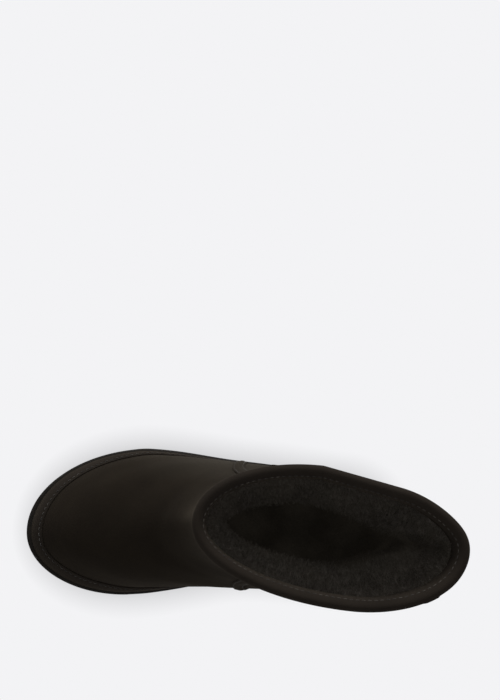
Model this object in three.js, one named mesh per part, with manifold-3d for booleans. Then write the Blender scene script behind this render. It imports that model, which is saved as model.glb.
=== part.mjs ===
// Sheepskin ankle boot for the right foot, size EU 39, standing on its sole.
// Units are millimetres. Each piece is worked out in the boot's own measures: `along` runs from the back of
// the heel towards the toe, `out` from the line between heel and toe towards the little-toe side, and `up`
// from the floor. In the part's frame the toe points along -X, the little-toe side is +Y and the shaft rises
// along +Z.
import * as THREE from "three";
import { mergeVertices } from "three/addons/utils/BufferGeometryUtils.js";
import Module from "manifold-3d";

const wasm = await Module();
wasm.setup();

// Rows of numbers under named columns, as a list of objects.
function table(columns, ...rows) {
  return rows.map((row) => Object.fromEntries(columns.map((column, i) => [column, row[i]])));
}

// ---- driving dimensions ----
const LENGTH = 266.5; // outsole, heel to toe
const TOE_ROUND = { lateral: 88, medial: 69 }; // how far back from the tip each side of the toe is rounded
const HEEL_ROUND = 42;
const FEATHER_INSET = 4.5; // from the outsole's edge to the upper, along the sides
const GAP = 0.3; // between pieces that meet
const WALL = 10; // hide and wool together, along the foot
const COLLAR_WALL = 4; // the wool is pressed flat under the collar's binding
const STRIP = 1.6; // suede strips: rand, binding, counter and side seams
const RAND_TOP = 0.115; // these are shares of the way from the sole to the collar
const BINDING_FOOT = 0.964;
const BINDING_HEM = 0.978;
const INSOLE_THICK = 7.5;
const AROUND = 64; // points round each section
const RISE = 18; // sections from the sole to the binding

// Half widths of the sole's edge, and of the foot where the upper is fullest, at stations along the boot.
const PLAN = table(
  ["along", "soleLateral", "soleMedial", "footLateral", "footMedial"],
  [42, 40, 40, 37.5, 38],
  [90, 47.4, 34.5, 44.5, 36.8],
  [122, 51.5, 34.2, 48.4, 36.6],
  [158, 57.3, 40.8, 53, 37.4],
  [180, 59.4, 44.1, 54.6, 38.4],
  [196, 59.4, 45.2, 54.8, 38.8],
);

// Sections of the upper, from the sole to the collar. Each is a loop from a point on the back line to a point
// on the front line (toe, vamp, instep, shaft). `full` goes from the sole's outline to the foot's, `leg` from
// the foot's outline to the section's own half widths, and `taper` narrows the shaft's little-toe side
// towards its back. The rounds say how far from each end a side curves.
const TAPER_FROM = 0.525;
const SECTIONS = table(
  [
    "frontAlong", "frontUp", "frontOut", "backAlong", "backUp", "backOut", "full", "leg", "taper", "lateral",
    "medial", "toeRoundLateral", "toeRoundMedial", "heelRoundLateral", "heelRoundMedial",
  ],
  [260.5, 25, 0, 4, 24, 0, 0, 0, 1, 40, 40, 80, 64, 38, 38],
  [254.5, 33, 0, 3, 32, 0, 0.6, 0, 1, 40, 40, 86, 74, 40, 40],
  [245.5, 42, 0, 2.2, 41, 0, 0.95, 0, 1, 40, 40, 94, 84, 42, 42],
  [232, 52, 0.2, 2.2, 50, 0, 1, 0, 1, 42, 40, 104, 94, 44, 44],
  [213, 62.5, 1, 3, 61, 0, 1, 0.1, 1, 43, 40, 106, 98, 46, 46],
  [190, 75.5, 2.4, 4, 74, -0.3, 1, 0.3, 1, 41.5, 39, 98, 94, 50, 48],
  [167.5, 92.5, 4.6, 5, 90, -0.8, 1, 0.6, 0.96, 38.8, 38, 86, 88, 56, 50],
  [152, 113.5, 6.6, 4.6, 109, -1.6, 1, 0.88, 0.88, 36.5, 37, 76, 83, 58, 52],
  [142.5, 140, 8.3, 1.2, 136, -2.8, 1, 1, 0.78, 35.6, 36.4, 70, 82, 54, 54],
  [138.1, 171, 9, -5.4, 170, -3.8, 1, 1, 0.66, 36, 37.1, 69, 86.5, 44.5, 58.5],
  [137.7, 205, 9.2, -13.9, 205, -5, 1, 1, 0.59, 37, 38.3, 70, 90, 35, 64],
);

// The outsole in profile: its foot-side surface, and how far its tread lifts off the floor.
const SOLE_PROFILE = table(
  ["along", "top"],
  [0, 24],
  [55, 24],
  [110, 22.5],
  [160, 19],
  [200, 17.5],
  [238, 20],
  [LENGTH, 25.5],
);
const TOE_SPRING = { from: 205, lift: 9 };
const ARCH = { from: 80, to: 130, lift: 2.5 };
const HEEL_BEVEL = { to: 12, lift: 2 };

// ---- small mathematics ----
const mix = (a, b, share) => a + (b - a) * share;
const ease = (from, to, x) => THREE.MathUtils.smoothstep(x, from, to);

// A smooth value of `column` at `x`, through the rows' own values, where `place(row, i)` is each row's x.
function through(rows, column, x, place) {
  const at = rows.map(place);
  const value = rows.map((row) => row[column]);
  const last = rows.length - 1;
  if (x <= at[0]) return value[0];
  if (x >= at[last]) return value[last];
  const i = at.findIndex((p) => p > x) - 1;
  const slope = (j) => {
    const a = Math.max(0, j - 1);
    const b = Math.min(last, j + 1);
    return (value[b] - value[a]) / (at[b] - at[a]);
  };
  const width = at[i + 1] - at[i];
  const s = (x - at[i]) / width;
  return (
    value[i] * (1 + 2 * s) * (1 - s) ** 2 +
    slope(i) * width * s * (1 - s) ** 2 +
    value[i + 1] * s * s * (3 - 2 * s) -
    slope(i + 1) * width * s * s * (1 - s)
  );
}
const plan = (column, along) => through(PLAN, column, along, (row) => row.along);
const section = (column, share) =>
  through(SECTIONS, column, share * (SECTIONS.length - 1), (row, i) => i);
const soleTop = (along) => through(SOLE_PROFILE, "top", along, (row) => row.along);

// A quarter round: 0 at an end, 1 from `round` onwards.
function quarterRound(distance, round) {
  const left = 1 - Math.min(1, Math.max(0, distance / round));
  return Math.sqrt(1 - left * left);
}

function treadLift(along) {
  const toe = Math.max(0, (along - TOE_SPRING.from) / (LENGTH - TOE_SPRING.from));
  const arch = THREE.MathUtils.clamp((along - ARCH.from) / (ARCH.to - ARCH.from), 0, 1);
  const heel = Math.max(0, (HEEL_BEVEL.to - along) / HEEL_BEVEL.to);
  return (
    TOE_SPRING.lift * toe ** 2 +
    ARCH.lift * Math.sin(Math.PI * arch) ** 2 +
    HEEL_BEVEL.lift * heel ** 2
  );
}

// ---- the last's own functions ----
const place = (along, out, up) => new THREE.Vector3(LENGTH - along, out, up);
const sideOf = (angle) => (Math.sin(angle) >= 0 ? "Lateral" : "Medial");

// A value that differs between the two sides, passing smoothly from one to the other at the toe and the heel.
const SIDE_BLEND = 0.5;
function bySide(angle, value) {
  const lateral = ease(-SIDE_BLEND, SIDE_BLEND, Math.sin(angle));
  return mix(value("Medial"), value("Lateral"), lateral);
}

// The sole's edge at an angle round it (0 toe, 90 degrees little-toe side, 180 heel), drawn in by `inset`.
function soleEdge(angle, inset, up) {
  const side = sideOf(angle);
  const share = (1 + Math.cos(angle)) / 2;
  const along = mix(inset, LENGTH - inset, share);
  const toeRound = side === "Lateral" ? TOE_ROUND.lateral : TOE_ROUND.medial;
  const half =
    (plan("sole" + side, along) - inset) *
    quarterRound(LENGTH - inset - along, toeRound - inset) *
    quarterRound(along - inset, HEEL_ROUND - inset);
  return place(along, Math.sign(Math.sin(angle)) * half, up(along));
}

// A point on the upper's outer face: `share` of the way from sole to collar, at an angle round it.
function outerFace(share, angle) {
  const t = (1 + Math.cos(angle)) / 2;
  const front = section("frontAlong", share);
  const back = section("backAlong", share);
  const along = mix(back, front, t);
  const half = bySide(angle, (side) => {
    const sole = plan("sole" + side, along) - FEATHER_INSET;
    const foot = mix(sole, plan("foot" + side, along), section("full", share));
    const narrow = side === "Lateral" ? mix(section("taper", share), 1, Math.min(1, t / TAPER_FROM)) : 1;
    const own = section(side.toLowerCase(), share) * narrow;
    return (
      mix(foot, own, section("leg", share)) *
      quarterRound(front - along, section("toeRound" + side, share)) *
      quarterRound(along - back, section("heelRound" + side, share))
    );
  });
  const centre = mix(section("backOut", share), section("frontOut", share), t);
  const straight = mix(section("backUp", share), section("frontUp", share), t);
  const feather = soleTop(along) + GAP - mix(SECTIONS[0].backUp, SECTIONS[0].frontUp, t);
  const up = straight + feather * (1 - ease(0, 0.4, share));
  return place(along, centre + Math.sign(Math.sin(angle)) * half, up);
}

// The same point raised off the face by `lift` (negative is inwards), level at the sole and at the collar.
function skin(share, angle, lift) {
  const step = 0.004;
  const low = Math.max(0, share - step);
  const high = Math.min(1, share + step);
  const rise = outerFace(high, angle).sub(outerFace(low, angle));
  const round = outerFace(share, angle + step).sub(outerFace(share, angle - step));
  const normal = new THREE.Vector3().crossVectors(rise, round).normalize();
  normal.z *= ease(0, 0.16, share) * ease(0, 0.05, 1 - share);
  const point = outerFace(share, angle).addScaledVector(normal.normalize(), lift);
  if (share === 0) point.z = soleTop(LENGTH - point.x) + GAP;
  return point;
}

// In the shaft the wool stands at its full depth, in degrees from the front round either side to the back.
const FLEECE = table(["turn", "thick"], [0, 15], [50, 16], [95, 16], [135, 18], [160, 13], [180, 9]);
function wall(share, angle) {
  const turn = THREE.MathUtils.radToDeg(Math.acos(Math.cos(angle)));
  const shaft = through(FLEECE, "thick", turn, (row) => row.turn);
  return mix(mix(WALL, shaft, ease(0.4, 0.7, share)), COLLAR_WALL, ease(0.85, BINDING_FOOT, share));
}

// The sections that the upper is drawn through, with those of the binding's own rows at the top.
const BINDING_SHARES = [BINDING_FOOT, BINDING_HEM, 0.99, 1];
const SHARES = [
  ...Array.from({ length: RISE + 1 }, (_, i) => (0.94 * i) / RISE),
  ...BINDING_SHARES,
];

// ---- solids from loops ----
const angles = (count) =>
  Array.from({ length: count }, (_, i) => ((i + 0.5) / count) * 2 * Math.PI);
const loop = (point) => angles(AROUND).map(point);

// Joins loops of points into one closed skin, with both ends filled, or the last loop joined to the first.
function shell(loops, filled) {
  const n = loops[0].length;
  const faces = [];
  const quad = (a, b, c, d) => faces.push(a, b, c, a, c, d);
  const rows = filled ? loops.length - 1 : loops.length;
  for (let r = 0; r < rows; r++) {
    const next = ((r + 1) % loops.length) * n;
    for (let i = 0; i < n; i++) quad(r * n + i, r * n + ((i + 1) % n), next + ((i + 1) % n), next + i);
  }
  if (filled) {
    const end = (loops.length - 1) * n;
    for (let i = 0; i < n / 2 - 1; i++) {
      quad(i, n - 1 - i, n - 2 - i, i + 1);
      quad(end + i, end + i + 1, end + n - 2 - i, end + n - 1 - i);
    }
  }
  const geometry = new THREE.BufferGeometry().setFromPoints(loops.flat()).setIndex(faces);
  return facingOut(geometry);
}

// Turns a closed skin's faces outwards.
function facingOut(geometry) {
  const p = geometry.attributes.position;
  const order = geometry.index.array;
  const [a, b, c] = [0, 1, 2].map(() => new THREE.Vector3());
  let volume = 0;
  for (let i = 0; i < order.length; i += 3) {
    a.fromBufferAttribute(p, order[i]);
    b.fromBufferAttribute(p, order[i + 1]);
    c.fromBufferAttribute(p, order[i + 2]);
    volume += a.dot(b.cross(c));
  }
  if (volume < 0) order.reverse();
  return geometry;
}

function solidOf(geometry) {
  const bare = geometry.clone();
  bare.deleteAttribute("normal");
  bare.deleteAttribute("uv");
  const merged = mergeVertices(bare, 1e-3);
  return new wasm.Manifold(
    new wasm.Mesh({
      numProp: 3,
      vertProperties: merged.attributes.position.array,
      triVerts: new Uint32Array(merged.index.array),
    }),
  );
}

function geometryOf(solid) {
  const mesh = solid.getMesh();
  return new THREE.BufferGeometry()
    .setAttribute("position", new THREE.BufferAttribute(mesh.vertProperties, 3))
    .setIndex(new THREE.BufferAttribute(mesh.triVerts, 1));
}

// ---- pieces ----
const TREAD = { depth: 2.2, width: 3.4, wave: 4, waves: 3, steps: 18 };
const TREAD_ROWS = [18, 31, 44, 57, 70, 138, 150, 162, 174, 186, 198, 210, 222, 234];

// One wavy groove across the sole, as a bar that is cut out of it.
function grooveBar(along) {
  const top = treadLift(along) + TREAD.depth;
  const reach = LENGTH / 4;
  const loops = [];
  for (let i = 0; i <= TREAD.steps; i++) {
    const out = mix(-reach, reach, i / TREAD.steps);
    const middle = along + TREAD.wave * Math.sin((out / reach) * Math.PI * TREAD.waves);
    const edge = (side, up) => place(middle + (side * TREAD.width) / 2, out, up);
    loops.push([edge(-1, -5), edge(1, -5), edge(1, top), edge(-1, top)]);
  }
  return shell(loops, true);
}

function outsole() {
  const tread = (along) => treadLift(along);
  const body = shell(
    [
      loop((angle) => soleEdge(angle, 4.5, tread)),
      loop((angle) => soleEdge(angle, 1.4, (along) => tread(along) + 3.2)),
      loop((angle) => soleEdge(angle, 0, (along) => mix(tread(along), soleTop(along), 0.45))),
      loop((angle) => soleEdge(angle, 0.6, (along) => soleTop(along) - 2.2)),
      loop((angle) => soleEdge(angle, 1.8, (along) => soleTop(along))),
    ],
    true,
  );
  let solid = solidOf(body);
  for (const along of TREAD_ROWS) solid = solid.subtract(solidOf(grooveBar(along)));
  return geometryOf(solid);
}

function upper() {
  const outside = SHARES.map((share) => loop((angle) => skin(share, angle, 0)));
  const inside = SHARES.map((share) => loop((angle) => skin(share, angle, -wall(share, angle))));
  return shell([...outside, ...inside.reverse()], false);
}

function insole() {
  const CLEARANCE = 1.8;
  const TOP_SHARE = 0.14; // the section that stands as high above the sole as the insole's top
  const edge = (share, draw, lift) =>
    loop((angle) => {
      const point = skin(share, angle, -(WALL + CLEARANCE + draw));
      point.z = soleTop(LENGTH - point.x) + GAP + lift;
      return point;
    });
  const half = TOP_SHARE / 2;
  return shell(
    [
      edge(0, 1.5, 0),
      edge(0, 0.5, 1.5),
      edge(half, 0.8, INSOLE_THICK - 2.5),
      edge(TOP_SHARE, 2, INSOLE_THICK),
    ],
    true,
  );
}

function rand() {
  const profile = [
    [0, GAP],
    [0, GAP + STRIP],
    [RAND_TOP * 0.5, GAP + STRIP + 0.2],
    [RAND_TOP, GAP + STRIP],
    [RAND_TOP, GAP],
    [RAND_TOP * 0.5, GAP],
  ];
  return shell(profile.map(([share, lift]) => loop((angle) => skin(share, angle, lift))), false);
}

function collarBinding() {
  const outside = GAP + STRIP;
  const crest = (lift, rise) => loop((angle) => skin(1, angle, lift).add(new THREE.Vector3(0, 0, rise)));
  const flap = (share, lift) => loop((angle) => skin(share, angle, lift));
  const hem = (share, lift) => loop((angle) => skin(share, angle, -wall(share, angle) - lift));
  const middle = -COLLAR_WALL / 2;
  return shell(
    [
      flap(BINDING_FOOT, GAP),
      flap(BINDING_FOOT, outside),
      flap(0.99, outside + 0.2),
      crest(outside - 0.7, GAP + 0.6),
      crest(middle, outside + 0.3),
      crest(-COLLAR_WALL - outside + 0.7, GAP + 0.6),
      hem(0.99, outside),
      hem(BINDING_HEM, outside),
      hem(BINDING_HEM, GAP),
      crest(-COLLAR_WALL - GAP, GAP),
      crest(GAP, GAP),
    ],
    false,
  );
}

// The side seams' angles round the boot: from the collar's sides they lean forward to the arch.
const SEAM_PATH = table(
  ["share", "lateral", "medial"],
  [0.12, 98, -97],
  [0.2, 96, -95.5],
  [0.3, 92.5, -93],
  [0.4, 87.5, -88],
  [0.5, 79.5, -79.5],
  [0.6, 70, -70],
  [0.7, 65.5, -66],
  [0.8, 67, -68],
  [1, 73, -73],
);
const SEAM = { halfWidth: 4, edge: 0.6, proud: 1.6, steps: 20 };

// A bound seam down one side of the boot, from the binding to the rand.
function sideSeam(side) {
  const loops = [];
  for (let i = 0; i <= SEAM.steps; i++) {
    const share = mix(RAND_TOP + 0.012, BINDING_FOOT - 0.006, i / SEAM.steps);
    const angle = THREE.MathUtils.degToRad(through(SEAM_PATH, side, share, (row) => row.share));
    const across = outerFace(share, angle + 0.01).distanceTo(outerFace(share, angle)) / 0.01;
    const turn = SEAM.halfWidth / across;
    loops.push([
      skin(share, angle - turn, GAP),
      skin(share, angle - turn, GAP + SEAM.edge),
      skin(share, angle - turn * 0.4, GAP + SEAM.proud),
      skin(share, angle + turn * 0.4, GAP + SEAM.proud),
      skin(share, angle + turn, GAP + SEAM.edge),
      skin(share, angle + turn, GAP),
    ]);
  }
  return shell(loops, true);
}

// The reinforcing patch round the heel, low at both ends and highest at the back.
const COUNTER = { reach: 74, endTop: 0.17, backTop: 0.55, lift: 0.6, steps: 28, rows: 6 };
function heelCounter() {
  const low = RAND_TOP + 0.012;
  const loops = [];
  for (let i = 0; i <= COUNTER.steps; i++) {
    const across = (2 * i) / COUNTER.steps - 1;
    const angle = Math.PI + across * THREE.MathUtils.degToRad(COUNTER.reach);
    const top = mix(COUNTER.endTop, COUNTER.backTop, Math.sqrt(1 - across ** 2));
    const shares = Array.from({ length: COUNTER.rows }, (_, j) => mix(low, top, j / (COUNTER.rows - 1)));
    const outside = shares.map((share) => skin(share, angle, COUNTER.lift + STRIP));
    const inside = shares.map((share) => skin(share, angle, COUNTER.lift)).reverse();
    loops.push([...outside, ...inside]);
  }
  return shell(loops, true);
}

// ---- the boot ----
const suede = { color: 0x1d1916, roughness: 0.95, metalness: 0 };
const MATERIALS = {
  upper_suede: new THREE.MeshStandardMaterial(suede),
  trim_suede: new THREE.MeshStandardMaterial({ ...suede, color: 0x1b1815 }),
  fleece: new THREE.MeshStandardMaterial({ ...suede, color: 0x161514 }),
  sole_foam: new THREE.MeshStandardMaterial({ color: 0x1a1816, roughness: 0.7, metalness: 0 }),
};

const PIECES = [
  { name: "outsole", geometry: outsole(), material: "sole_foam" },
  { name: "upper", geometry: upper(), material: "upper_suede" },
  { name: "insole", geometry: insole(), material: "fleece" },
  { name: "rand", geometry: rand(), material: "trim_suede" },
  { name: "collar_binding", geometry: collarBinding(), material: "trim_suede" },
  { name: "heel_counter", geometry: heelCounter(), material: "upper_suede" },
  { name: "side_seam_lateral", geometry: sideSeam("lateral"), material: "trim_suede" },
  { name: "side_seam_medial", geometry: sideSeam("medial"), material: "trim_suede" },
];

const boot = new THREE.Group();
for (const { name, geometry, material } of PIECES) {
  const mesh = new THREE.Mesh(geometry, MATERIALS[material]);
  mesh.name = name;
  boot.add(mesh);
}

// The origin is on the floor, under the middle of the boot's box.
const box = new THREE.Box3().setFromObject(boot);
const middle = box.getCenter(new THREE.Vector3());
boot.position.set(-middle.x, -middle.y, -box.min.z);

export default boot;
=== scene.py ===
"""A sheepskin ankle boot for the right foot: black suede outside, wool inside.

The shapes come from the same measures as the solids: `along` runs from the back of the heel towards
the toe, `out` from the line between heel and toe towards the little-toe side, `up` from the floor,
all in millimetres. Every piece on the upper is laid on one face, found from a share of the way up
(0 sole, 1 collar) and an angle round it (0 toe, 90 degrees little-toe side, 180 heel).
"""

import math

import bpy
import numpy as np
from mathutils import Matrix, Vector


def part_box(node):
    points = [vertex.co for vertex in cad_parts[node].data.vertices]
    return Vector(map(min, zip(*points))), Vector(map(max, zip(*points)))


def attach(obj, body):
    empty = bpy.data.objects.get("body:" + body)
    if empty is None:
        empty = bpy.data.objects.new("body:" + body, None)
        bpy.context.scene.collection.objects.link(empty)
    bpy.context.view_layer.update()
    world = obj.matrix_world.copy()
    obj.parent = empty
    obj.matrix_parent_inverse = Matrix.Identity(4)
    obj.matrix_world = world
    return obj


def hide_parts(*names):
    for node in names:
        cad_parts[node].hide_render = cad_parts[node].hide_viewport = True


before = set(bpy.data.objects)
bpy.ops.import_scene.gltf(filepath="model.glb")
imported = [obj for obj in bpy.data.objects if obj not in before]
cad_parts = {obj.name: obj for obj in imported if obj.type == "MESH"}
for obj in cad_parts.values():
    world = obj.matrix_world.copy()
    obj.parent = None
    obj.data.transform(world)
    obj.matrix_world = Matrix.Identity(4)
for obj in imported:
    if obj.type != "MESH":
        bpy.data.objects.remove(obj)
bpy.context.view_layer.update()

# ---------------------------------------------------------------- measures
# Lengths are in millimetres, angles in degrees, and heights on the upper in shares of the way up.
LENGTH = 266.5
TOE_ROUND = {"lateral": 88, "medial": 69}
HEEL_ROUND = 42
FEATHER_INSET = 4.5
GAP = 0.3
WALL = 10
COLLAR_WALL = 4
STRIP = 1.6
RAND_TOP = 0.115
BINDING_FOOT = 0.964
BINDING_HEM = 0.978
INSOLE_THICK = 7.5
HIDE_THICK = 2
TAPER_FROM = 0.525  # share of the way from heel to toe at which the leg starts to narrow backwards
SIDE_BLEND = 0.5  # how far round from toe and heel the two sides' shapes pass into each other
FEATHER_FADE = 0.4  # share of the way up at which the face no longer follows the sole's top
SHAFT_WOOL = (0.4, 0.7)  # shares between which the foot's wall passes into the shaft's
PRESSED_FROM = 0.85  # share from which the wall thins towards the binding
LEVEL_BELOW, LEVEL_ABOVE = 0.16, 0.05  # shares next to sole and collar over which lifts turn level


def table(columns, *rows):
    """Rows of numbers under named columns, as a dictionary of arrays."""
    return dict(zip(columns.split(), np.array(rows, float).T))


PLAN = table(
    "along sole_lateral sole_medial foot_lateral foot_medial",
    [42, 40, 40, 37.5, 38],
    [90, 47.4, 34.5, 44.5, 36.8],
    [122, 51.5, 34.2, 48.4, 36.6],
    [158, 57.3, 40.8, 53, 37.4],
    [180, 59.4, 44.1, 54.6, 38.4],
    [196, 59.4, 45.2, 54.8, 38.8],
)
SECTIONS = table(
    "front_along front_up front_out back_along back_up back_out full leg taper lateral medial "
    "toe_round_lateral toe_round_medial heel_round_lateral heel_round_medial",
    [260.5, 25, 0, 4, 24, 0, 0, 0, 1, 40, 40, 80, 64, 38, 38],
    [254.5, 33, 0, 3, 32, 0, 0.6, 0, 1, 40, 40, 86, 74, 40, 40],
    [245.5, 42, 0, 2.2, 41, 0, 0.95, 0, 1, 40, 40, 94, 84, 42, 42],
    [232, 52, 0.2, 2.2, 50, 0, 1, 0, 1, 42, 40, 104, 94, 44, 44],
    [213, 62.5, 1, 3, 61, 0, 1, 0.1, 1, 43, 40, 106, 98, 46, 46],
    [190, 75.5, 2.4, 4, 74, -0.3, 1, 0.3, 1, 41.5, 39, 98, 94, 50, 48],
    [167.5, 92.5, 4.6, 5, 90, -0.8, 1, 0.6, 0.96, 38.8, 38, 86, 88, 56, 50],
    [152, 113.5, 6.6, 4.6, 109, -1.6, 1, 0.88, 0.88, 36.5, 37, 76, 83, 58, 52],
    [142.5, 140, 8.3, 1.2, 136, -2.8, 1, 1, 0.78, 35.6, 36.4, 70, 82, 54, 54],
    [138.1, 171, 9, -5.4, 170, -3.8, 1, 1, 0.66, 36, 37.1, 69, 86.5, 44.5, 58.5],
    [137.7, 205, 9.2, -13.9, 205, -5, 1, 1, 0.59, 37, 38.3, 70, 90, 35, 64],
)
SOLE_PROFILE = table(
    "along top",
    [0, 24],
    [55, 24],
    [110, 22.5],
    [160, 19],
    [200, 17.5],
    [238, 20],
    [LENGTH, 25.5],
)
SEAM_PATH = table(
    "share lateral medial",
    [0.12, 98, -97],
    [0.2, 96, -95.5],
    [0.3, 92.5, -93],
    [0.4, 87.5, -88],
    [0.5, 79.5, -79.5],
    [0.6, 70, -70],
    [0.7, 65.5, -66],
    [0.8, 67, -68],
    [1, 73, -73],
)
# The shaft's wall of hide and wool, by degrees from the front round either side to the back.
FLEECE = table("turn thick", [0, 15], [50, 16], [95, 16], [135, 18], [160, 13], [180, 9])
TOE_SPRING = {"start": 205, "lift": 9}
ARCH = {"start": 80, "end": 130, "lift": 2.5}
HEEL_BEVEL = {"end": 12, "lift": 2}
TREAD = {"depth": 2.2, "width": 3.4, "wave": 4, "waves": 3}
TREAD_ROWS = [18, 31, 44, 57, 70, 138, 150, 162, 174, 186, 198, 210, 222, 234]
COUNTER = {"reach": 74, "end_top": 0.17, "back_top": 0.55, "lift": 0.6}

# Stitches: pitch, length and the thread's radius.
STITCH = (3.4, 2.1, 0.2)
FINE_STITCH = (3.4, 2.1, 0.18)
RAND_STITCH = (3.7, 2.6, 0.24)


# ---------------------------------------------------------------- small mathematics
def mix(a, b, share):
    return a + (b - a) * share


def ease(start, end, x):
    s = np.clip((np.asarray(x, float) - start) / (end - start), 0, 1)
    return s * s * (3 - 2 * s)


def bump_at(x, centre, width):
    """1 at the centre, falling smoothly to nothing about two widths away."""
    return np.exp(-(((np.asarray(x, float) - centre) / width) ** 2))


def through(at, value, x):
    """A smooth value at x through the given values."""
    x = np.clip(np.asarray(x, float), at[0], at[-1])
    i = np.clip(np.searchsorted(at, x, side="right") - 1, 0, len(at) - 2)
    slope = np.gradient(value, at)
    slope[1:-1] = (value[2:] - value[:-2]) / (at[2:] - at[:-2])
    width = at[i + 1] - at[i]
    s = (x - at[i]) / width
    return (
        value[i] * (1 + 2 * s) * (1 - s) ** 2
        + slope[i] * width * s * (1 - s) ** 2
        + value[i + 1] * s * s * (3 - 2 * s)
        - slope[i + 1] * width * s * s * (1 - s)
    )


def plan(column, along):
    return through(PLAN["along"], PLAN[column], along)


def section(column, share):
    rows = SECTIONS[column]
    return through(np.arange(len(rows), dtype=float), rows, np.asarray(share) * (len(rows) - 1))


def sole_top(along):
    return through(SOLE_PROFILE["along"], SOLE_PROFILE["top"], along)


def quarter_round(distance, radius):
    left = 1 - np.clip(distance / radius, 0, 1)
    return np.sqrt(1 - left * left)


def unit(vectors):
    return vectors / np.maximum(np.linalg.norm(vectors, axis=-1, keepdims=True), 1e-12)


def ripple(x, y, seed, size):
    """Smooth noise between about -1 and 1 over two directions, in the given size of feature."""
    waves = np.random.default_rng(seed)
    total = np.zeros(np.broadcast(x, y).shape)
    for _ in range(7):
        turn, phase = waves.uniform(0, 2 * math.pi, 2)
        pace = waves.uniform(0.6, 1.5) * 2 * math.pi / size
        total += np.sin(pace * (x * math.cos(turn) + y * math.sin(turn)) + phase)
    return total / 3.2


# ---------------------------------------------------------------- the last's own faces
def place(along, out, up):
    return np.stack(np.broadcast_arrays(LENGTH - along, out, up), axis=-1).astype(float)


def by_side(angle, lateral, medial):
    return np.where(np.sin(angle) >= 0, lateral, medial)


def tread_lift(along):
    toe = np.maximum(0, (along - TOE_SPRING["start"]) / (LENGTH - TOE_SPRING["start"]))
    arch = np.clip((along - ARCH["start"]) / (ARCH["end"] - ARCH["start"]), 0, 1)
    heel = np.maximum(0, (HEEL_BEVEL["end"] - along) / HEEL_BEVEL["end"])
    return (
        TOE_SPRING["lift"] * toe**2
        + ARCH["lift"] * np.sin(math.pi * arch) ** 2
        + HEEL_BEVEL["lift"] * heel**2
    )


def sole_edge(angle, inset, up):
    """The sole's edge drawn in by `inset`, at the height that `up` gives for its place along."""
    along = mix(inset, LENGTH - inset, (1 + np.cos(angle)) / 2)
    toe = by_side(angle, TOE_ROUND["lateral"], TOE_ROUND["medial"])
    half = (
        (by_side(angle, plan("sole_lateral", along), plan("sole_medial", along)) - inset)
        * quarter_round(LENGTH - inset - along, toe - inset)
        * quarter_round(along - inset, HEEL_ROUND - inset)
    )
    return place(along, np.sign(np.sin(angle)) * half, up(along))


def outer_face(share, angle):
    t = (1 + np.cos(angle)) / 2
    front = section("front_along", share)
    back = section("back_along", share)
    along = mix(back, front, t)

    def half(side, narrow):
        sole = plan("sole_" + side, along) - FEATHER_INSET
        foot = mix(sole, plan("foot_" + side, along), section("full", share))
        return (
            mix(foot, section(side, share) * narrow, section("leg", share))
            * quarter_round(front - along, section("toe_round_" + side, share))
            * quarter_round(along - back, section("heel_round_" + side, share))
        )

    narrow = mix(section("taper", share), 1, np.minimum(1, t / TAPER_FROM))
    lateral = ease(-SIDE_BLEND, SIDE_BLEND, np.sin(angle))
    half = mix(half("medial", 1), half("lateral", narrow), lateral)
    centre = mix(section("back_out", share), section("front_out", share), t)
    straight = mix(section("back_up", share), section("front_up", share), t)
    feather = sole_top(along) + GAP - mix(SECTIONS["back_up"][0], SECTIONS["front_up"][0], t)
    up = straight + feather * (1 - ease(0, FEATHER_FADE, share))
    return place(along, centre + np.sign(np.sin(angle)) * half, up)


# Where the empty boot's hide has settled: one soft fold or swelling a row, by its place up the
# boot and the angle round it in degrees, its depth in millimetres off the last, its height as a
# share, its reach in degrees, and how far it leans along that reach.
FOLDS = table(
    "share angle depth height reach lean",
    [0.6, 2, -0.6, 0.03, 50, 0.012],
    [0.52, 178, -1.0, 0.022, 46, 0.0],
    [0.57, 186, 0.8, 0.022, 40, 0.0],
    [0.625, 174, -0.9, 0.024, 40, 0.006],
    [0.53, 118, -0.7, 0.02, 26, 0.014],
    [0.585, 112, -0.6, 0.02, 24, 0.012],
    [0.53, -122, -0.8, 0.02, 26, 0.014],
    [0.6, -116, -0.7, 0.022, 24, 0.01],
    [0.77, 104, -1.0, 0.05, 26, 0.02],
    [0.74, -108, -1.1, 0.05, 26, 0.02],
    [0.45, -60, 0.8, 0.08, 30, 0.0],
    [0.4, 62, 0.7, 0.08, 30, 0.0],
)


# The hide's own slight unevenness, over a face about `high` tall and `round` from its middle.
WAVER = {"depth": 0.35, "seed": 7, "size": 60, "high": 200, "round": 50}


def settled(share, angle):
    """How far the settled hide lies off the last."""
    turn = np.degrees(np.asarray(angle, float))
    x = share * WAVER["high"] + WAVER["round"] * np.cos(angle)
    y = WAVER["round"] * np.sin(angle)
    total = WAVER["depth"] * ripple(x, y, WAVER["seed"], WAVER["size"]) * ease(0.05, 0.25, share)
    for row in range(len(FOLDS["share"])):
        fold = {name: column[row] for name, column in FOLDS.items()}
        off = (turn - fold["angle"] + 180) % 360 - 180
        middle = fold["share"] + fold["lean"] * np.sin(np.radians(off * 3))
        up = bump_at(share, middle, fold["height"])
        total = total + fold["depth"] * up * bump_at(off, 0, fold["reach"])
    return total * (1 - ease(0.93, 0.99, share))


def skin(share, angle, lift):
    """A point over the settled hide, raised by `lift`, level at the sole and at the collar."""
    share, angle, lift = np.broadcast_arrays(
        np.asarray(share, float), np.asarray(angle, float), np.asarray(lift, float)
    )
    step = 0.004
    low = np.maximum(0, share - step)
    high = np.minimum(1, share + step)
    rise = outer_face(high, angle) - outer_face(low, angle)
    turn = outer_face(share, angle + step) - outer_face(share, angle - step)
    normal = unit(np.cross(rise, turn))
    normal[..., 2] *= ease(0, LEVEL_BELOW, share) * ease(0, LEVEL_ABOVE, 1 - share)
    return outer_face(share, angle) + unit(normal) * (lift + settled(share, angle))[..., None]


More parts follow.
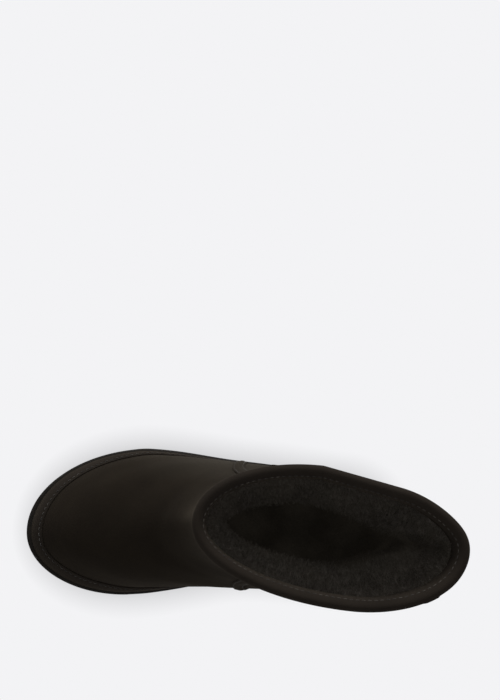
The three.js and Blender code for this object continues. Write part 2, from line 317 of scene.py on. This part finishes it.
def wall(share, angle):
    """How thick hide and wool are together."""
    shaft = through(FLEECE["turn"], FLEECE["thick"], np.degrees(np.arccos(np.cos(angle))))
    free = mix(WALL, shaft, ease(*SHAFT_WOOL, share))
    return mix(free, COLLAR_WALL, ease(PRESSED_FROM, BINDING_FOOT, share))


# The frame's origin is on the floor under the middle of the box, and its unit is the metre.
MM_PER_M = 1000
OUTLINE = sole_edge(np.linspace(0, 2 * math.pi, 2001), 0, lambda along: along * 0)
SHIFT = np.array(
    [
        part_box("outsole")[0].x * MM_PER_M - OUTLINE[:, 0].min(),
        -(OUTLINE[:, 1].max() + OUTLINE[:, 1].min()) / 2,
        0,
    ]
)


def metres(points):
    return (np.asarray(points, float) + SHIFT) / MM_PER_M


# ---------------------------------------------------------------- meshes
def piece(name, points, faces, material, stands_for=()):
    """A smooth mesh from points in millimetres, riding with the boot."""
    mesh = bpy.data.meshes.new(name)
    mesh.from_pydata(metres(points.reshape(-1, 3)), [], faces)
    mesh.validate()
    mesh.polygons.foreach_set("use_smooth", [True] * len(mesh.polygons))
    mesh.materials.append(material)
    thing = bpy.data.objects.new(name, mesh)
    bpy.context.scene.collection.objects.link(thing)
    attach(thing, "root")
    if stands_for:
        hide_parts(*stands_for)
    return thing


def ring_faces(rows, around, closed_rows=False, closed_around=True, offset=0):
    """Quads between rows of points, each row closed into a ring if asked."""
    last_row = rows if closed_rows else rows - 1
    last_point = around if closed_around else around - 1
    r, i = np.meshgrid(np.arange(last_row), np.arange(last_point), indexing="ij")
    row = r * around
    next_row = (r + 1) % rows * around
    next_i = (i + 1) % around
    quads = np.stack([row + i, row + next_i, next_row + next_i, next_row + i], -1)
    return (quads.reshape(-1, 4) + offset).tolist()


def angles(count):
    return (np.arange(count) + 0.5) / count * 2 * math.pi


def flipped(faces):
    return [face[::-1] for face in faces]


def turned_out(points, faces):
    """The faces, turned round if they face into the closed skin."""
    flat = points.reshape(-1, 3)
    quads = np.array([f for f in faces if len(f) == 4])
    a, b, c, d = (flat[quads[:, k]] for k in range(4))
    volume = np.einsum("ij,ij->i", a, np.cross(b, c) + np.cross(c, d)).sum()
    return faces if volume > 0 else flipped(faces)


def planks(loop, count):
    """Rows of points straight across a loop, from its lateral half to its medial half."""
    half = len(loop) // 2
    lateral = loop[:half]
    medial = loop[half:][::-1]
    share = np.linspace(0, 1, count)
    return lateral[:, None] + (medial - lateral)[:, None] * share[None, :, None]


# ---------------------------------------------------------------- materials
def linear(text):
    """A colour written as sRGB hex, in the linear values that shaders use."""
    channels = [int(text[i : i + 2], 16) / 255 for i in (1, 3, 5)]
    return (*(c / 12.92 if c <= 0.04045 else ((c + 0.055) / 1.055) ** 2.4 for c in channels), 1)


class Nodes:
    """A node tree, with each node added in one line with its settings and links."""

    def __init__(self, tree):
        self.tree = tree
        tree.nodes.clear()

    def add(self, kind, inputs=None, **settings):
        node = self.tree.nodes.new(kind)
        for name, value in settings.items():
            setattr(node, name, value)
        for name, value in (inputs or {}).items():
            socket = node.inputs[name]
            if isinstance(value, bpy.types.NodeSocket):
                self.tree.links.new(value, socket)
            else:
                socket.default_value = value
        return node

    def where(self):
        return self.add("ShaderNodeTexCoord").outputs["Object"]

    def seen_or(self, seen, other):
        """One value where the camera looks straight at it, another where it only sheds light."""
        direct = self.add("ShaderNodeLightPath").outputs["Is Camera Ray"]
        return self.remap(direct, 0, 1, other, seen)

    def noise(self, size_mm, detail, roughness):
        inputs = {"Vector": self.where(), "Scale": MM_PER_M / size_mm}
        inputs.update({"Detail": detail, "Roughness": roughness})
        return self.add("ShaderNodeTexNoise", inputs).outputs["Fac"]

    def remap(self, value, low, high, to_low, to_high):
        inputs = {"Value": value, "From Min": low, "From Max": high}
        inputs.update({"To Min": to_low, "To Max": to_high})
        return self.add("ShaderNodeMapRange", inputs).outputs["Result"]

    def math(self, operation, *values):
        return self.add("ShaderNodeMath", dict(enumerate(values)), operation=operation).outputs[0]

    def blend(self, share, a, b):
        node = self.add("ShaderNodeMix", {"Factor": share}, data_type="RGBA")
        for index, value in ((6, a), (7, b)):
            if isinstance(value, bpy.types.NodeSocket):
                self.tree.links.new(value, node.inputs[index])
            else:
                node.inputs[index].default_value = value
        return node.outputs[2]

    def bump(self, height, depth_mm, strength, normal=None):
        inputs = {"Height": height, "Distance": depth_mm / MM_PER_M, "Strength": strength}
        if normal is not None:
            inputs["Normal"] = normal
        return self.add("ShaderNodeBump", inputs).outputs["Normal"]


class Shader(Nodes):
    """A material's nodes."""

    def __init__(self, name):
        self.material = bpy.data.materials.new(name)
        self.material.use_nodes = True
        super().__init__(self.material.node_tree)

    def finish(self, **surface):
        inputs = {name.replace("_", " "): value for name, value in surface.items()}
        return self.surface(self.add("ShaderNodeBsdfPrincipled", inputs).outputs["BSDF"])

    def surface(self, shade):
        self.add("ShaderNodeOutputMaterial", {"Surface": shade})
        return self.material


SUEDE_SHEEN = "#8f8474"
WOOL_SHEEN = "#8f8b85"
WOOL_GLOW = "#110f0c"  # a painted glow, standing in for the light scattered between the wool's fibres
GLOW_RANGE = (0.75, 1.3)  # how unevenly the painted glow shows, strand by strand and clump by clump
WOOL_SHADE_DEEPEST_M, WOOL_SHADE_GONE_M = 0.115, 0.19  # heights between which the wool's painted shade goes from deepest to none
# Where a painted highlight lightens the little-toe flank, in metres: it fades in outwards and from
# the toe, and out at the heel.
FLANK_HIGHLIGHT = {"out": (0.027, 0.046), "from_toe": (-0.065, 0.002), "to_heel": (0.02, 0.06)}
# The cleft in the wool where painted shade darkens it, in metres: its line over the floor, its
# breadth, its two ends, and how deep the shade goes.
CLEFT_SHADE = {
    "slope": -0.2,
    "middle": 0.0125,
    "breadth": (0.0005, 0.007),
    "start": (0.085, 0.105),
    "end": (0.122, 0.136),
    "dim": 0.75,
}


def suede(name, dark, light, sheen, flank_highlight=None):
    """Black suede: a short nap that goes lighter at a glancing angle and in patches where it lies
    over. A painted highlight lightens the little-toe side between ankle and ball."""
    s = Shader(name)
    patches = s.remap(s.noise(38, 3, 0.55), 0.35, 0.65, 0, 1)
    grain = s.remap(s.noise(1.1, 3, 0.7), 0.3, 0.7, 0, 1)
    colour = s.blend(s.math("MULTIPLY_ADD", patches, 0.45), linear(dark), linear(light))
    colour = s.blend(s.remap(grain, 0, 1, 0, 0.4), colour, linear(light))
    # Painted highlight: a lighter colour on the little-toe flank between ankle and ball, where the
    # side light falls.
    if flank_highlight:
        x, y, _ = s.add("ShaderNodeSeparateXYZ", {"Vector": s.where()}).outputs
        across = s.remap(y, *FLANK_HIGHLIGHT["out"], 0, 1)
        front = s.remap(x, *FLANK_HIGHLIGHT["from_toe"], 0, 1)
        along = s.math("MULTIPLY", front, s.remap(x, *FLANK_HIGHLIGHT["to_heel"], 1, 0))
        colour = s.blend(s.math("MULTIPLY", across, along), colour, linear(flank_highlight))
    coarse = s.bump(s.noise(3.2, 3, 0.6), 0.25, 0.5)
    nap = s.bump(s.noise(0.5, 4, 0.75), 0.22, 0.75, coarse)
    return s.finish(
        Base_Color=colour,
        Roughness=0.95,
        Specular_IOR_Level=0.03,
        Sheen_Weight=sheen,
        Sheen_Roughness=0.35,
        Sheen_Tint=linear(SUEDE_SHEEN),
        Normal=nap,
    )


def wool(name, dark, light, sheen):
    """Black wool pile: near black in its depth, greyer where the curls' tips catch the light.
    Painted shade darkens it down the shaft and in the cleft at the back where the wool of the two
    sides meets, and a painted glow stands in for the light scattered between its fibres."""
    s = Shader(name)
    clumps = s.remap(s.noise(5, 3, 0.6), 0.35, 0.7, 0, 1)
    strands = s.remap(s.noise(0.9, 3, 0.7), 0.35, 0.7, 0, 1)
    colour = s.blend(clumps, linear(dark), linear(light))
    colour = s.blend(s.remap(strands, 0, 1, 0, 0.6), colour, linear(light))
    x, y, z = s.add("ShaderNodeSeparateXYZ", {"Vector": s.where()}).outputs
    middle = s.math("MULTIPLY_ADD", x, CLEFT_SHADE["slope"], CLEFT_SHADE["middle"])
    off = s.math("ABSOLUTE", s.math("SUBTRACT", y, middle))
    cleft = s.remap(off, *CLEFT_SHADE["breadth"], 1, 0)
    cleft = s.math("MULTIPLY", cleft, s.remap(x, *CLEFT_SHADE["start"], 0, CLEFT_SHADE["dim"]))
    cleft = s.math("MULTIPLY", cleft, s.remap(x, *CLEFT_SHADE["end"], 1, 0))
    # Painted shade: colour and sheen fall towards black lower down the shaft, and more in the cleft
    # at the back.
    depth = s.remap(z, WOOL_SHADE_DEEPEST_M, WOOL_SHADE_GONE_M, 0.1, 1)
    depth = s.math("MULTIPLY", depth, s.math("SUBTRACT", 1, cleft))
    colour = s.blend(depth, (0, 0, 0, 1), colour)
    # Painted glow: the wool emits a little light of its own, unevenly through these patches and
    # strands.
    patches = s.remap(s.noise(26, 2, 0.5), 0.35, 0.65, *GLOW_RANGE)
    return s.finish(
        Base_Color=colour,
        Roughness=0.9,
        Specular_IOR_Level=0.05,
        Sheen_Weight=s.math("MULTIPLY", depth, sheen),
        Sheen_Roughness=0.4,
        Sheen_Tint=linear(WOOL_SHEEN),
        Normal=s.bump(s.noise(2.2, 3, 0.65), 1.2, 0.8),
        Emission_Color=linear(WOOL_GLOW),
        Emission_Strength=s.math("MULTIPLY", s.remap(strands, 0, 1, *GLOW_RANGE), patches),
    )


def foam(name, dark, light):
    """Black moulded sole foam: matt, with a fine closed-cell skin and a few paler specks."""
    s = Shader(name)
    colour = s.blend(s.remap(s.noise(6, 4, 0.6), 0.4, 0.7, 0, 1), linear(dark), linear(light))
    cells = s.bump(s.noise(0.7, 3, 0.6), 0.1, 0.5)
    return s.finish(
        Base_Color=colour,
        Roughness=s.remap(s.noise(3, 3, 0.6), 0.3, 0.7, 0.7, 0.85),
        Specular_IOR_Level=0.12,
        Normal=cells,
    )


def thread(name, dark, light):
    """Waxed thread, lighter than the hide, with its twist and places where the nap covers it."""
    s = Shader(name)
    waves = {"Vector": s.where(), "Scale": 900.0, "Distortion": 2.0}
    twist = s.add("ShaderNodeTexWave", waves).outputs["Fac"]
    covered = s.remap(s.noise(9, 2, 0.5), 0.42, 0.6, 0, 1)
    return s.finish(
        Base_Color=s.blend(covered, linear(dark), linear(light)),
        Roughness=0.7,
        Specular_IOR_Level=0.2,
        Sheen_Weight=0.15,
        Normal=s.bump(twist, 0.08, 0.6),
    )


# The hide and the seam strips take a painted highlight on the little-toe flank, as their last
# colour.
HIDE = suede("hide_suede", "#0d0a08", "#191510", sheen=0.16, flank_highlight="#2b2823")
TRIM = suede("trim_suede", "#13100e", "#1f1b17", sheen=0.22)
SEAM_SUEDE = suede("seam_suede", "#0e0b09", "#1a1612", sheen=0.15, flank_highlight="#24211c")
PATCH = suede("counter_suede", "#0e0b09", "#191511", sheen=0.2)
LINING = wool("lining_wool", "#161412", "#272421", sheen=0.15)
CURLS = wool("wool_curls", "#1a1816", "#5b5752", sheen=0.25)
FOOTBED = wool("footbed_wool", "#13110f", "#211e1b", sheen=0.15)
SOLE_FOAM = foam("sole_foam", "#0f0c09", "#16120d")
THREAD = thread("waxed_thread", "#1b1815", "#332f2a")
COLLAR_THREAD = thread("collar_thread", "#1c1916", "#3d3933")

# ---------------------------------------------------------------- upper
AROUND = 288
ROUND = angles(AROUND)
BEND = 0.94  # share above which the face bends in to the collar and takes closer rows
# The lining's lumps: depth, the direction they are counted in, seed and size.
LUMPS = [(0.9, np.cos, 3, 9), (0.5, np.sin, 5, 5)]
LUMPS_HIGH, LUMPS_ROUND = 190, 90
# A lock of wool: where it starts in front of the wall's face, its reach off it, how much further a
# few reach, its rise towards the collar, its curl's radius and turn, and its ribbon's half width.
LOCK = {
    "start": 2,
    "reach": (2.6, 5),
    "stray": 3,
    "rise": (0.2, 1),
    "curl": (0.5, 1.2),
    "turn": (2.2, 4.8),
    "half": (0.12, 0.32),
}
LOCK_STEPS = 4


def shares_up(below, above, end):
    return np.concatenate([np.linspace(0, BEND, below), np.linspace(BEND + 0.005, end, above)])


def upper():
    """The hide, open at the collar and underneath."""
    hidden = np.concatenate([[1, 0.97], np.linspace(BEND, 0, 36)])
    outside = skin(shares_up(110, 12, 1)[:, None], ROUND, 0)
    inside = skin(hidden[:, None], ROUND, -HIDE_THICK)
    points = np.concatenate([outside, inside])
    faces = ring_faces(len(points), AROUND, closed_rows=True)
    piece("upper_hide", points, turned_out(points, faces), HIDE, ("upper",))


def lining():
    """The wool's dense body behind the hide, lumpy on its inner face."""
    shares = shares_up(96, 8, 0.995)[:, None]
    lumps = sum(
        depth * ripple(shares * LUMPS_HIGH, way(ROUND) * LUMPS_ROUND, seed, size)
        for depth, way, seed, size in LUMPS
    )
    lumps = lumps * (1 - ease(0.93, 0.97, shares))
    # The curls fill the slack. There is none by the footbed's edge, which closes against the wool.
    slack = mix(-0.4, 1.6, ease(0.14, 0.3, shares))
    inner = skin(shares, ROUND, -wall(shares, ROUND) + slack + lumps)
    outer = skin(shares[::-1], ROUND, -HIDE_THICK - 0.4)
    points = np.concatenate([inner, outer])
    faces = ring_faces(len(points), AROUND, closed_rows=True)
    piece("wool_lining", points, turned_out(points, faces), LINING, ())


def curls(name, count, low, high, seed):
    """Short curled locks of wool standing off the lining, as twisted ribbons. Those next to the
    binding come out under its hem and then rise beside it."""
    pick = np.random.default_rng(seed)
    share = pick.uniform(low, high, count)
    angle = pick.uniform(0, 2 * math.pi, count)
    face = -wall(share, angle)
    root = skin(share, angle, face + LOCK["start"])
    inwards = unit(skin(share, angle, face - 1) - skin(share, angle, face + 1))
    side = unit(np.cross(inwards, pick.normal(size=(count, 3))))
    across = np.cross(inwards, side)
    collar = ease(0.9, 0.96, share)
    reach = pick.uniform(*LOCK["reach"], count)
    reach = reach + LOCK["stray"] * pick.random(count) ** 4 + 1.6 * collar
    rise = pick.uniform(*LOCK["rise"], count) * mix(1.5, 8.5, collar)
    curl = pick.uniform(*LOCK["curl"], count)
    start = pick.uniform(0, 2 * math.pi, count)
    turn = pick.uniform(*LOCK["turn"], count) * pick.choice([-1, 1], count)
    width = pick.uniform(*LOCK["half"], count)
    rows = []
    for k in range(LOCK_STEPS):
        s = k / (LOCK_STEPS - 1)
        phase = start + turn * s
        middle = (
            root
            + inwards * (reach * s * (1.3 - 0.5 * s))[:, None]
            + side * (curl * (np.cos(phase) - np.cos(start)))[:, None]
            + across * (curl * (np.sin(phase) - np.sin(start)))[:, None]
        )
        middle[:, 2] += rise * s * s
        twist = phase * 0.7
        flat = side * (-np.sin(twist))[:, None] + across * np.cos(twist)[:, None]
        flat = unit(flat + inwards * 0.3)
        half = (width * (1 - 0.6 * s))[:, None]
        rows.append(np.stack([middle - flat * half, middle + flat * half], 1))
    points = np.stack(rows, 1)
    base = np.arange(count)[:, None] * LOCK_STEPS * 2
    strip = np.array([[2 * k, 2 * k + 1, 2 * k + 3, 2 * k + 2] for k in range(LOCK_STEPS - 1)])
    faces = (base[:, :, None] + strip[None]).reshape(-1, 4).tolist()
    piece(name, points, faces, CURLS, ())


# ---------------------------------------------------------------- strips and stitches
def smooth_profile(rows, count):
    """More rows between a closed profile's own rows, each a tuple of numbers."""
    rows = np.array(rows, float)
    n = len(rows)
    out = []
    for i in range(n):
        a, b, c, d = (rows[(i + k) % n] for k in (-1, 0, 1, 2))
        square = 2 * a - 5 * b + 4 * c - d
        cube = 3 * b - a - 3 * c + d
        for s in np.arange(count) / count:
            out.append(0.5 * (2 * b + (c - a) * s + square * s * s + cube * s**3))
    return np.array(out)


def strip_round(name, rows, node, pucker):
    """A suede strip all the way round the boot from a closed profile of (share, lift, rise)."""
    profile = smooth_profile(rows, 3)
    turn = angles(720)
    share, lift, rise = (profile[:, k, None] for k in range(3))
    points = skin(np.clip(share, 0, 1), turn, lift + pucker(share, lift, turn))
    points[..., 2] += rise
    faces = ring_faces(len(profile), len(turn), closed_rows=True)
    piece(name, points, turned_out(points, faces), TRIM, (node,))


def stitches(name, path, normal, stitch, material):
    """Thread stitches along a path of points, each bowed off the surface with its ends sunk in."""
    pitch, length, radius = stitch
    steps = np.linalg.norm(np.diff(path, axis=0), axis=1)
    distance = np.concatenate([[0], np.cumsum(steps)])
    count = int(distance[-1] // pitch)
    middle = (np.arange(count) + 0.5) * distance[-1] / count
    rings, sides = 7, 6
    share = np.linspace(-0.5, 0.5, rings)
    at = middle[:, None] + share * length
    at = np.clip(at, 0, distance[-1])
    centre = np.stack([np.interp(at, distance, path[:, k]) for k in range(3)], -1)
    up = unit(np.stack([np.interp(at, distance, normal[:, k]) for k in range(3)], -1))
    along = unit(np.gradient(centre, axis=1))
    across = np.cross(along, up)
    centre = centre + up * (radius * (1.5 * np.cos(share * math.pi) - 0.75))[:, None]
    thin = radius * np.sqrt(np.maximum(0.12, 1 - (2 * share) ** 4))
    turn = np.arange(sides) / sides * 2 * math.pi
    spoke = across[:, :, None] * np.cos(turn)[:, None] + up[:, :, None] * np.sin(turn)[:, None]
    points = centre[:, :, None] + spoke * thin[None, :, None, None]
    one = ring_faces(rings, sides)
    one += [list(range(sides))[::-1], list(range((rings - 1) * sides, rings * sides))]
    faces = [[v + k * rings * sides for v in face] for k in range(count) for face in one]
    piece(name, points, faces, material)


def row_of_stitches(name, share, angle, lift, stitch, material=THREAD, rise=0, facing=(1, 0)):
    """Stitches along a line on the boot's face, given by shares and angles and raised by `lift` off
    the face and `rise` upwards. `facing` says how much they face outwards and how much up."""
    share, angle, lift = np.broadcast_arrays(share, angle, lift)
    path = skin(share, angle, lift)
    path[..., 2] += rise
    out = unit(skin(share, angle, lift + 1) - skin(share, angle, lift - 1))
    out = unit(out * facing[0] + np.array([0, 0, 1.0]) * facing[1])
    stitches(name, path, out, stitch, material)


FULL_TURN = np.linspace(0, 2 * math.pi, 1600)
SEAM_HALF = 4  # half the seam strip's width


def rand():
    """The strip round the foot of the upper, with a row of stitches that draws it in."""
    top = GAP + STRIP
    line = 0.1
    rows = [
        (0.0, GAP, 0),
        (0.0, top + 0.1, 0.2),
        (0.02, top + 0.5, 0),
        (0.05, top + 0.5, 0),
        (0.08, top, 0),
        (0.1, top - 0.4, 0),
        (0.112, top - 0.9, 0),
        (RAND_TOP + 0.001, GAP, 0),
        (0.1, -0.3, 0),
        (0.03, GAP, 0),
    ]

    def pucker(share, lift, turn):
        return -0.4 * bump_at(share, line, 0.006) * (lift > 1)

    strip_round("rand_strip", rows, "rand", pucker)
    row_of_stitches("rand_stitches", line, FULL_TURN, top - 0.5, RAND_STITCH)


def binding():
    """The strip folded over the collar, from its foot outside to its hem among the wool."""
    top = GAP + STRIP
    hem = -COLLAR_WALL - top + 0.5
    rows = [
        (BINDING_FOOT, -0.2, 0),
        (BINDING_FOOT, top - 0.3, 0),
        (0.97, top + 0.2, 0),
        (0.985, top + 0.3, 0),
        (1.0, top, 0),
        (1.0, top - 1, 1.4),
        (1.0, -0.6, 2.2),
        (1.0, -2.4, 1.9),
        (1.0, -4.2, 0.4),
        (1.0, hem + 0.2, -2),
        (0.984, hem - 0.3, -0.6),
        (BINDING_HEM, hem - 0.2, 0),
        (BINDING_HEM, hem + 1.1, 0),
        (0.985, hem + 1.2, -0.6),
        (1.0, -3.6, -1.6),
        (1.0, -2, 0.2),
        (1.0, GAP, 0.1),
        (0.98, GAP, 0),
    ]

    def pucker(share, lift, turn):
        """The strip's lapped join behind the medial side, and its draw-in under the stitches."""
        starts, ends = np.radians([218, 219.5]), np.radians([226, 229])
        lap = ease(*starts, turn) * (1 - ease(*ends, turn))
        drawn = bump_at(lift, -4.4, 0.6) * (share > 0.999)
        return 0.5 * lap * (lift > 0.5) - 0.25 * drawn

    strip_round("collar_binding_strip", rows, "collar_binding", pucker)
    facing = (-0.55, 0.85)
    row_of_stitches("binding_stitches", 1.0, FULL_TURN, -4.6, STITCH, COLLAR_THREAD, 0.2, facing)


def seam(side):
    """A bound seam down one side: a folded strip with a row of stitches along each edge."""
    shares = np.linspace(RAND_TOP + 0.004, BINDING_FOOT - 0.001, 240)
    angle = np.radians(through(SEAM_PATH["share"], SEAM_PATH[side], shares))
    step = 0.01
    ahead = outer_face(shares, angle + step) - outer_face(shares, angle)
    turn = SEAM_HALF / (np.linalg.norm(ahead, axis=-1) / step)
    half = [(1, -0.4), (1, 0.4), (0.93, 0.62), (0.75, 0.68), (0.6, 0.72), (0.4, 0.95), (0.2, 1.15)]
    under = [(out, -0.6) for out in (0.6, 0.2, -0.2, -0.6)]
    profile = np.array([(-out, up) for out, up in half] + [(0, 1.2)] + half[::-1] + under)
    turned = angle[:, None] + turn[:, None] * profile[:, 0]
    points = skin(shares[:, None], turned, GAP + profile[:, 1])
    n = len(profile)
    faces = ring_faces(len(shares), n)
    faces += [list(range(n))[::-1], list(range((len(shares) - 1) * n, len(shares) * n))]
    node = "side_seam_" + side
    piece(node + "_strip", points, turned_out(points, faces), SEAM_SUEDE, (node,))
    for name, offset in (("front", -0.72), ("back", 0.72)):
        line = angle + turn * offset
        row_of_stitches(f"{node}_stitches_{name}", shares, line, GAP + 0.62, FINE_STITCH)


def counter_top(across):
    return mix(COUNTER["end_top"], COUNTER["back_top"], np.sqrt(np.maximum(0, 1 - across**2)))


def counter():
    """The suede patch round the heel, with two rows of stitches inside its edge."""
    across = np.sin(np.linspace(-math.pi / 2, math.pi / 2, 160))
    angle = math.pi + across * math.radians(COUNTER["reach"])
    low = RAND_TOP + 0.006
    top = counter_top(across)
    rows = np.linspace(0, 1, 26)
    shares = mix(low, top, rows[:, None])
    outside = skin(shares, angle, COUNTER["lift"] + STRIP - 0.5 * bump_at(rows, 1, 0.02)[:, None])
    inside = skin(shares[::-1], angle, -0.3)
    points = np.concatenate([outside, inside])
    faces = ring_faces(len(points), len(across), closed_rows=True, closed_around=False)
    n = len(across)
    first = [row * n for row in range(len(points))]
    faces = turned_out(points, faces + [first[::-1], [v + n - 1 for v in first]])
    piece("heel_counter_patch", points, faces, PATCH, ("heel_counter",))
    for name, inset in (("outer", 0.014), ("inner", 0.03)):
        line = np.linspace(-0.985, 0.985, 700) * (1 - inset)
        share = counter_top(line / (1 - inset)) - inset
        angle = math.pi + line * math.radians(COUNTER["reach"])
        lift = COUNTER["lift"] + STRIP
        row_of_stitches(f"heel_counter_stitches_{name}", share, angle, lift, STITCH)


# ---------------------------------------------------------------- sole and insole
def groove(along, out):
    """How deep the tread is cut, from 0 to 1."""
    depth = np.zeros(np.broadcast(along, out).shape)
    bend = TREAD["wave"] * np.sin(out / (LENGTH / 4) * math.pi * TREAD["waves"])
    half, soft = TREAD["width"] / 2, 0.3
    for row in TREAD_ROWS:
        off = np.abs(along - row - bend)
        depth = np.maximum(depth, 1 - ease(half - soft, half + soft, off))
    return depth


def pad(loops, under, top):
    """The points and faces of a closed pad from its side's loops and its planked under and top."""
    half, n = under.shape[:2]
    points = np.concatenate([part.reshape(-1, 3) for part in (np.stack(loops), under, top)])
    start = len(loops) * len(loops[0])
    faces = ring_faces(len(loops), len(loops[0]))
    faces += flipped(ring_faces(half, n, closed_around=False, offset=start))
    start += under.size // 3
    faces += ring_faces(half, top.shape[1], closed_around=False, offset=start)
    return points, faces


def outsole():
    """The foam sole: its bevelled foot, its side with the fine rim line, its top and its tread."""

    def side(share):
        return lambda along: mix(tread_lift(along), sole_top(along), share)

    def below_top(drop):
        return lambda along: sole_top(along) - drop

    def above_tread(lift):
        return lambda along: tread_lift(along) + lift

    # Each level's inset from the outline and its height.
    levels = [
        (4.5, above_tread(0)),
        (2.4, above_tread(1.2)),
        (1.4, above_tread(3.2)),
        (0.5, above_tread(5.0)),
        (0.0, side(0.45)),
        (0.1, side(0.7)),
        (0.25, below_top(3.2)),
        (0.8, below_top(2.6)),
        (0.35, below_top(2.1)),
        (0.7, below_top(0.8)),
        (1.6, below_top(0.1)),
        (2.6, below_top(0)),
    ]
    turn = angles(840)
    loops = [sole_edge(turn, inset, up) for inset, up in levels]
    bottom = planks(loops[0], 64)
    along = LENGTH - bottom[..., 0]
    bottom[..., 2] = tread_lift(along) + TREAD["depth"] * groove(along, bottom[..., 1])
    points, faces = pad(loops, bottom, planks(loops[-1], 6))
    piece("outsole_foam", points, faces, SOLE_FOAM, ("outsole",))


def insole():
    """The footbed: a padded board topped with wool."""
    turn = angles(240)

    def edge(share, draw, lift):
        points = skin(share, turn, -(WALL + 1 + draw))
        points[..., 2] = sole_top(LENGTH - points[..., 0]) + GAP + lift
        return points

    loops = [
        edge(0, 1.5, 0),
        edge(0, 0.5, 1.5),
        edge(0.07, 0.3, INSOLE_THICK - 2.5),
        edge(0.14, 1, INSOLE_THICK),
    ]
    top = planks(loops[-1], 50)
    fade = np.sin(math.pi * np.linspace(0, 1, 50)) ** 0.5
    top[..., 2] += 0.8 * ripple(top[..., 0], top[..., 1], 11, 7) * fade
    points, faces = pad(loops, planks(loops[0], 6), top)
    return piece("insole_footbed", points, faces, FOOTBED, ("insole",))


upper()
lining()
rand()
binding()
seam("lateral")
seam("medial")
counter()
outsole()
insole()
SPARSE = 1
curls("wool_curls_collar", 30000 // SPARSE, 0.84, 0.97, seed=21)
curls("wool_curls_shaft", 24000 // SPARSE, 0.6, 0.85, seed=22)
curls("wool_curls_foot", 15000 // SPARSE, 0.1, 0.61, seed=23)

# ---------------------------------------------------------------- floor, light and camera
PALE = linear("#f3f3f5")
FLOOR_REACH_M = 4
FLOOR_GLOW = 0.45  # of the floor's own colour, as it lights the boot from below
CONTACT = {"reach_m": 0.02, "open": 0.45, "shade": 0.7}  # the floor's soft shade close to the boot
SKY = {"from": -0.6, "dim": 0.38, "bright": 1.5}
CAMERA = {"at_m": (0.0188, 0.0151, 0.867), "tilt_degrees": 7.3, "lens_mm": 60.2}

paper = Shader("floor_paper")
distance = {"Distance": CONTACT["reach_m"]}
open_sky = paper.add("ShaderNodeAmbientOcclusion", distance, samples=24).outputs["AO"]
near_boot = paper.remap(open_sky, CONTACT["open"], 1, CONTACT["shade"], 1)
emission = {"Color": PALE, "Strength": paper.seen_or(near_boot, FLOOR_GLOW)}

corners = [(-1, -1), (1, -1), (1, 1), (-1, 1)]
sheet = bpy.data.meshes.new("floor")
points = [(x * FLOOR_REACH_M, y * FLOOR_REACH_M, 0) for x, y in corners]
sheet.from_pydata(points, [], [(0, 1, 2, 3)])
sheet.materials.append(paper.surface(paper.add("ShaderNodeEmission", emission).outputs["Emission"]))
floor = bpy.data.objects.new("floor", sheet)
bpy.context.scene.collection.objects.link(floor)

# Soft light from all round, most of it from the little-toe side.
world = bpy.data.worlds.new("studio")
world.use_nodes = True
sky = Nodes(world.node_tree)
direction = sky.add("ShaderNodeTexCoord").outputs["Generated"]
sideways = sky.add("ShaderNodeSeparateXYZ", {"Vector": direction}).outputs["Y"]
light = sky.remap(sideways, SKY["from"], 1, SKY["dim"], SKY["bright"])
strength = sky.seen_or(1.0, light)
background = sky.add("ShaderNodeBackground", {"Color": PALE, "Strength": strength})
sky.add("ShaderNodeOutputWorld", {"Surface": background.outputs["Background"]})
bpy.context.scene.world = world


def far_light(name, towards, energy, spread_degrees):
    """A distant lamp that shines along `towards`."""
    lamp = bpy.data.lights.new(name, "SUN")
    lamp.energy = energy
    lamp.angle = math.radians(spread_degrees)
    thing = bpy.data.objects.new(name, lamp)
    thing.rotation_euler = Vector(towards).to_track_quat("-Z", "Y").to_euler()
    bpy.context.scene.collection.objects.link(thing)


far_light("side_light", (-0.15, -1.0, -0.19), energy=3.6, spread_degrees=25)
far_light("fill_light", (0.3, 1.0, -0.08), energy=1.2, spread_degrees=50)

bpy.context.scene.view_settings.view_transform = "Standard"
bpy.context.scene.view_settings.look = "None"

lens = bpy.data.cameras.new("camera")
lens.sensor_width = 36
lens.lens = CAMERA["lens_mm"]
lens.clip_start = 0.01
camera = bpy.data.objects.new("camera", lens)
camera.location = CAMERA["at_m"]
camera.rotation_euler = (math.radians(CAMERA["tilt_degrees"]), 0, 0)
bpy.context.scene.collection.objects.link(camera)
bpy.context.scene.camera = camera
